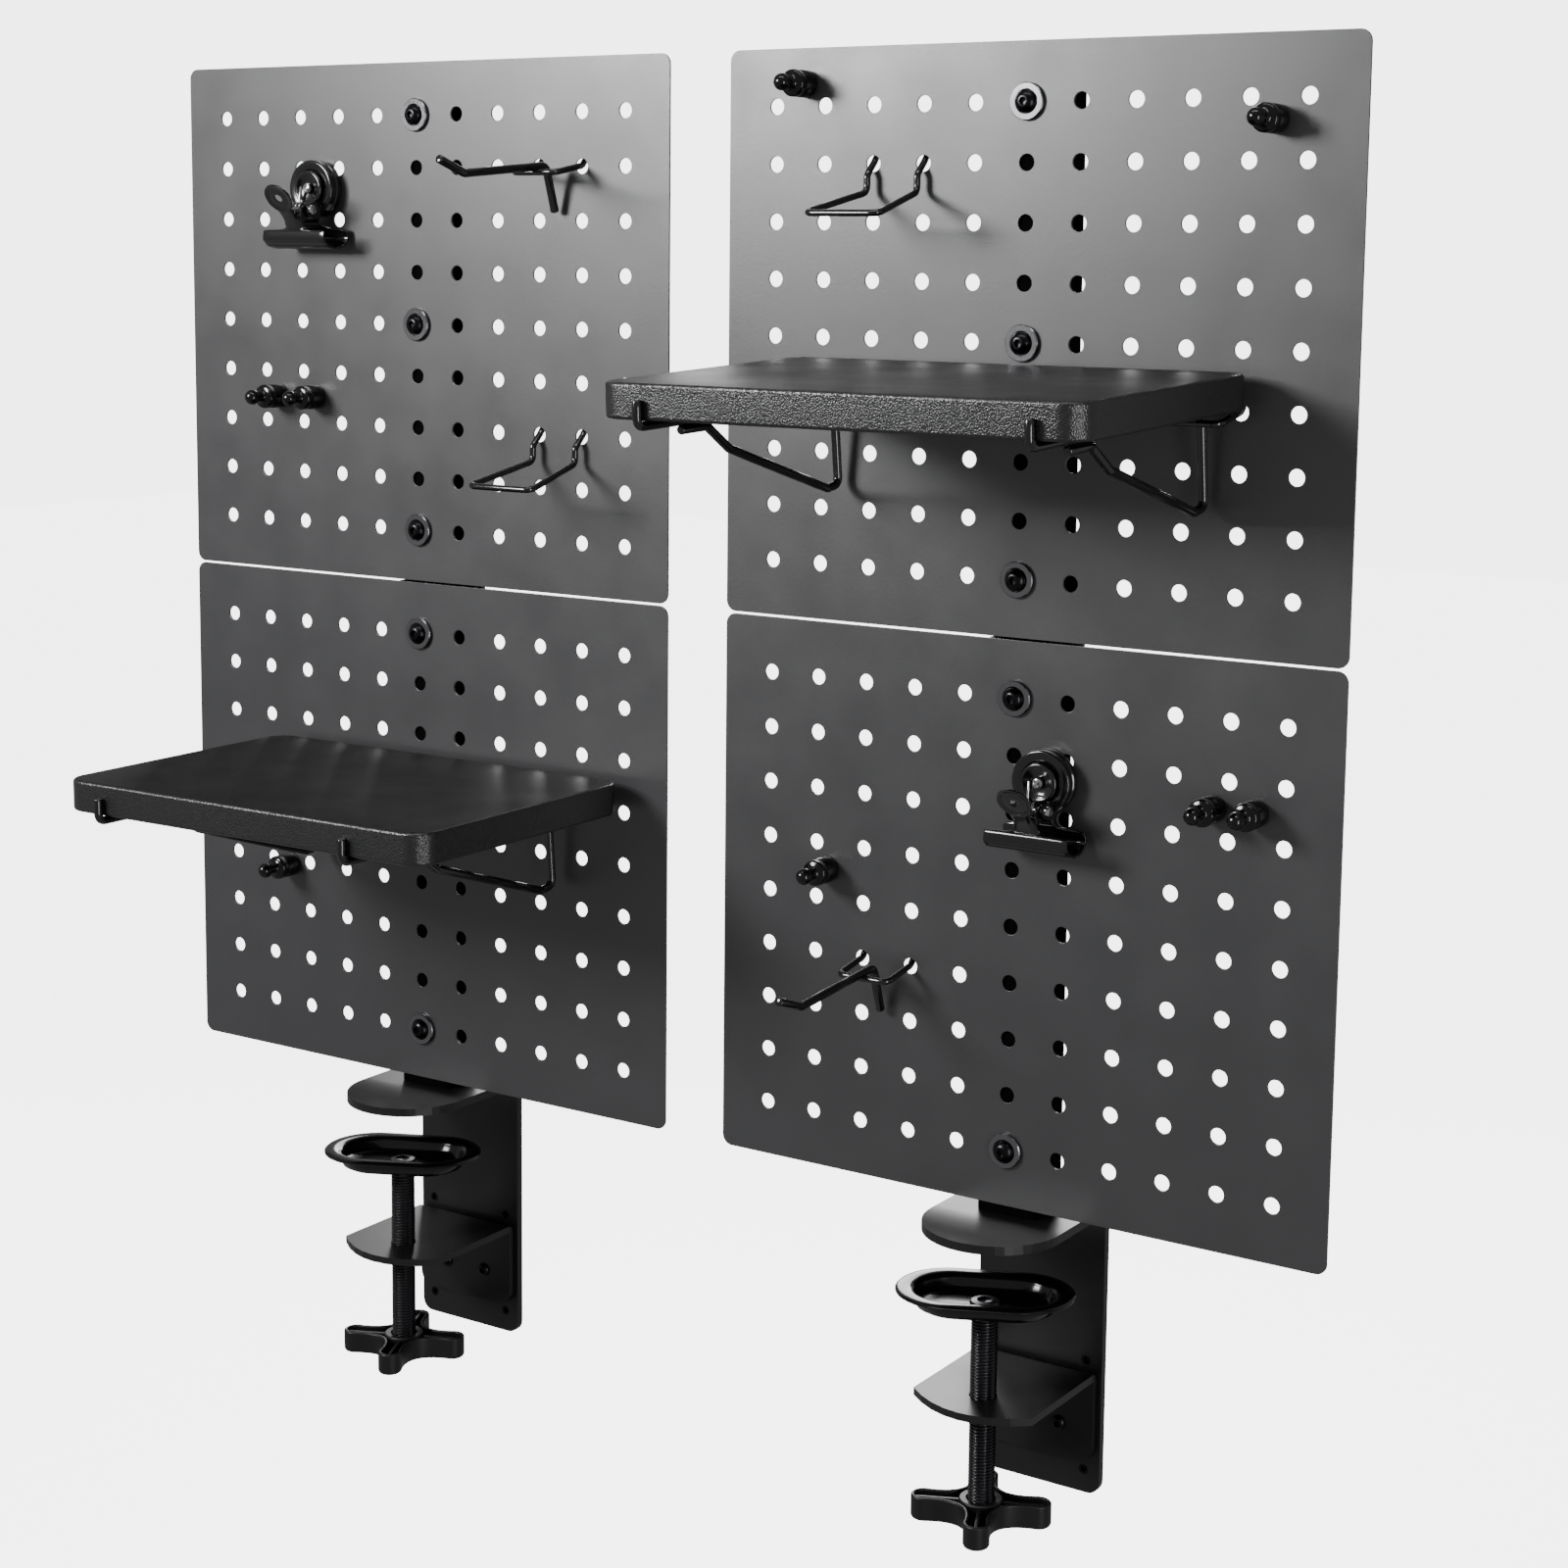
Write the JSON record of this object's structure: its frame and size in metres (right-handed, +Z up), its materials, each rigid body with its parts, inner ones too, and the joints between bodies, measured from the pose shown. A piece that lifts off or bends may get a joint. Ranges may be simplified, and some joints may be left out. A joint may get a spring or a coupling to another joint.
{
  "type": "pegboard tool wall",
  "caption": "Desk-clamped pegboard tool wall with two towers of perforated steel panels, shelves, wire hooks, magnetic pins and magnetic bulldog clips.",
  "frame": {"origin": "midway between the two towers, on the desk's top surface and the edge of the desk that the back plates stand against", "axes": "+X to the user's right, +Y away from the user and off the desk, +Z up the posts"},
  "size_m": [0.6432, 0.1988, 0.6505],
  "materials": {
    "panel": "charcoal grey powder coat with a fine texture",
    "frame": "satin black powder coat",
    "pad_enamel": "gloss black enamel",
    "knob": "moulded black nylon",
    "cap": "moulded black nylon",
    "screw": "black-oxide steel, lightly oiled",
    "wire": "gloss black coated wire",
    "board": "fibreboard under a black leather-grain laminate",
    "pin": "gloss black moulded over a magnet",
    "clip": "gloss black lacquered spring steel",
    "rivet": "bright nickel plate"
  },
  "bodies": {
    "wall": {"panel_upper_left": "panel", "panel_lower_left": "panel", "post_upper_left": "frame", "post_lower_left": "frame", "post_joiner_left": "frame", "post_cap_left": "cap", "panel_upper_right": "panel", "panel_lower_right": "panel", "post_upper_right": "frame", "post_lower_right": "frame", "post_joiner_right": "frame", "post_cap_right": "cap", "clamp_frame_left": "frame", "clamp_arm_left": "frame", "clamp_frame_right": "frame", "clamp_arm_right": "frame", "panel_bolt_left_1": "screw", "panel_bolt_left_2": "screw", "panel_bolt_left_3": "screw", "panel_bolt_left_4": "screw", "panel_bolt_left_5": "screw", "panel_bolt_right_1": "screw", "panel_bolt_right_2": "screw", "panel_bolt_right_3": "screw", "panel_bolt_right_4": "screw", "panel_bolt_right_5": "screw", "shelf_bracket_left_1": "wire", "shelf_bracket_left_2": "wire", "shelf_bracket_right_1": "wire", "shelf_bracket_right_2": "wire", "magnet_pin_left_1": "pin", "magnet_pin_left_2": "pin", "magnet_pin_left_3": "pin", "magnet_pin_right_1": "pin", "magnet_pin_right_2": "pin", "magnet_pin_right_3": "pin", "magnet_pin_right_4": "pin", "magnet_pin_right_5": "pin", "clip_magnet_left": "clip", "clip_rear_leaf_left": "clip", "clip_pivot_left": "rivet", "clip_spring_left": "rivet", "clip_magnet_right": "clip", "clip_rear_leaf_right": "clip", "clip_pivot_right": "rivet", "clip_spring_right": "rivet"},
    "pad_left": {"clamp_pad_left": "pad_enamel"},
    "screw_left": {"clamp_spindle_left": "screw", "clamp_knob_left": "knob"},
    "pad_right": {"clamp_pad_right": "pad_enamel"},
    "screw_right": {"clamp_spindle_right": "screw", "clamp_knob_right": "knob"},
    "clip_left": {"clip_front_leaf_left": "clip"},
    "clip_right": {"clip_front_leaf_right": "clip"},
    "board_left": {"shelf_board_left": "board"},
    "board_right": {"shelf_board_right": "board"},
    "loop_left": {"loop_hook_left": "wire"},
    "loop_right": {"loop_hook_right": "wire"},
    "prong_left": {"prong_hook_left": "wire"},
    "prong_right": {"prong_hook_right": "wire"}
  },
  "joints": [
    {"name": "pad_slide_left", "type": "slide", "parent": "wall", "child": "pad_left", "axis": [0, 0, 1], "range_m": [-0.038, 0.0245]},
    {"name": "screw_turn_left", "type": "hinge", "parent": "pad_left", "child": "screw_left", "pos_m": [-0.1692, -0.0525, -0.08], "axis": [0, 0, 1], "range_deg": [-9125, 5885]},
    {"name": "pad_slide_right", "type": "slide", "parent": "wall", "child": "pad_right", "axis": [0, 0, 1], "range_m": [-0.038, 0.0245]},
    {"name": "screw_turn_right", "type": "hinge", "parent": "pad_right", "child": "screw_right", "pos_m": [0.1692, -0.0525, -0.08], "axis": [0, 0, 1], "range_deg": [-9125, 5885]},
    {"name": "clip_squeeze_left", "type": "hinge", "parent": "wall", "child": "clip_left", "pos_m": [-0.2315, -0.0525, 0.4461], "axis": [-1, 0, 0], "range_deg": [0, 25], "stiffness_Nm_per_rad": 0.4, "springref_deg": -20.05},
    {"name": "clip_squeeze_right", "type": "hinge", "parent": "wall", "child": "clip_right", "pos_m": [0.1866, -0.0525, 0.1926], "axis": [-1, 0, 0], "range_deg": [0, 25], "stiffness_Nm_per_rad": 0.4, "springref_deg": -20.05},
    {"name": "board_lift_left", "type": "slide", "parent": "wall", "child": "board_left", "axis": [0, -0.007, 1], "range_m": [0, 0.04]},
    {"name": "board_lift_right", "type": "slide", "parent": "wall", "child": "board_right", "axis": [0, -0.0419, 0.9991], "range_m": [0, 0.04]},
    {"name": "loop_tilt_left", "type": "hinge", "parent": "wall", "child": "loop_left", "pos_m": [-0.0803, -0.036, 0.3397], "axis": [-1, 0, 0], "range_deg": [0, 45]},
    {"name": "loop_tilt_right", "type": "hinge", "parent": "wall", "child": "loop_right", "pos_m": [0.1057, -0.036, 0.4667], "axis": [-1, 0, 0], "range_deg": [0, 45]},
    {"name": "prong_tilt_left", "type": "hinge", "parent": "wall", "child": "prong_left", "pos_m": [-0.0803, -0.036, 0.4667], "axis": [-1, 0, 0], "range_deg": [0, 45]},
    {"name": "prong_tilt_right", "type": "hinge", "parent": "wall", "child": "prong_right", "pos_m": [0.1057, -0.036, 0.1101], "axis": [-1, 0, 0], "range_deg": [0, 45]}
  ],
  "couplings": [
    {"joint": "screw_turn_left", "follows": "pad_slide_left", "rad_per_m": 4188.8},
    {"joint": "screw_turn_right", "follows": "pad_slide_right", "rad_per_m": 4188.8}
  ]
}
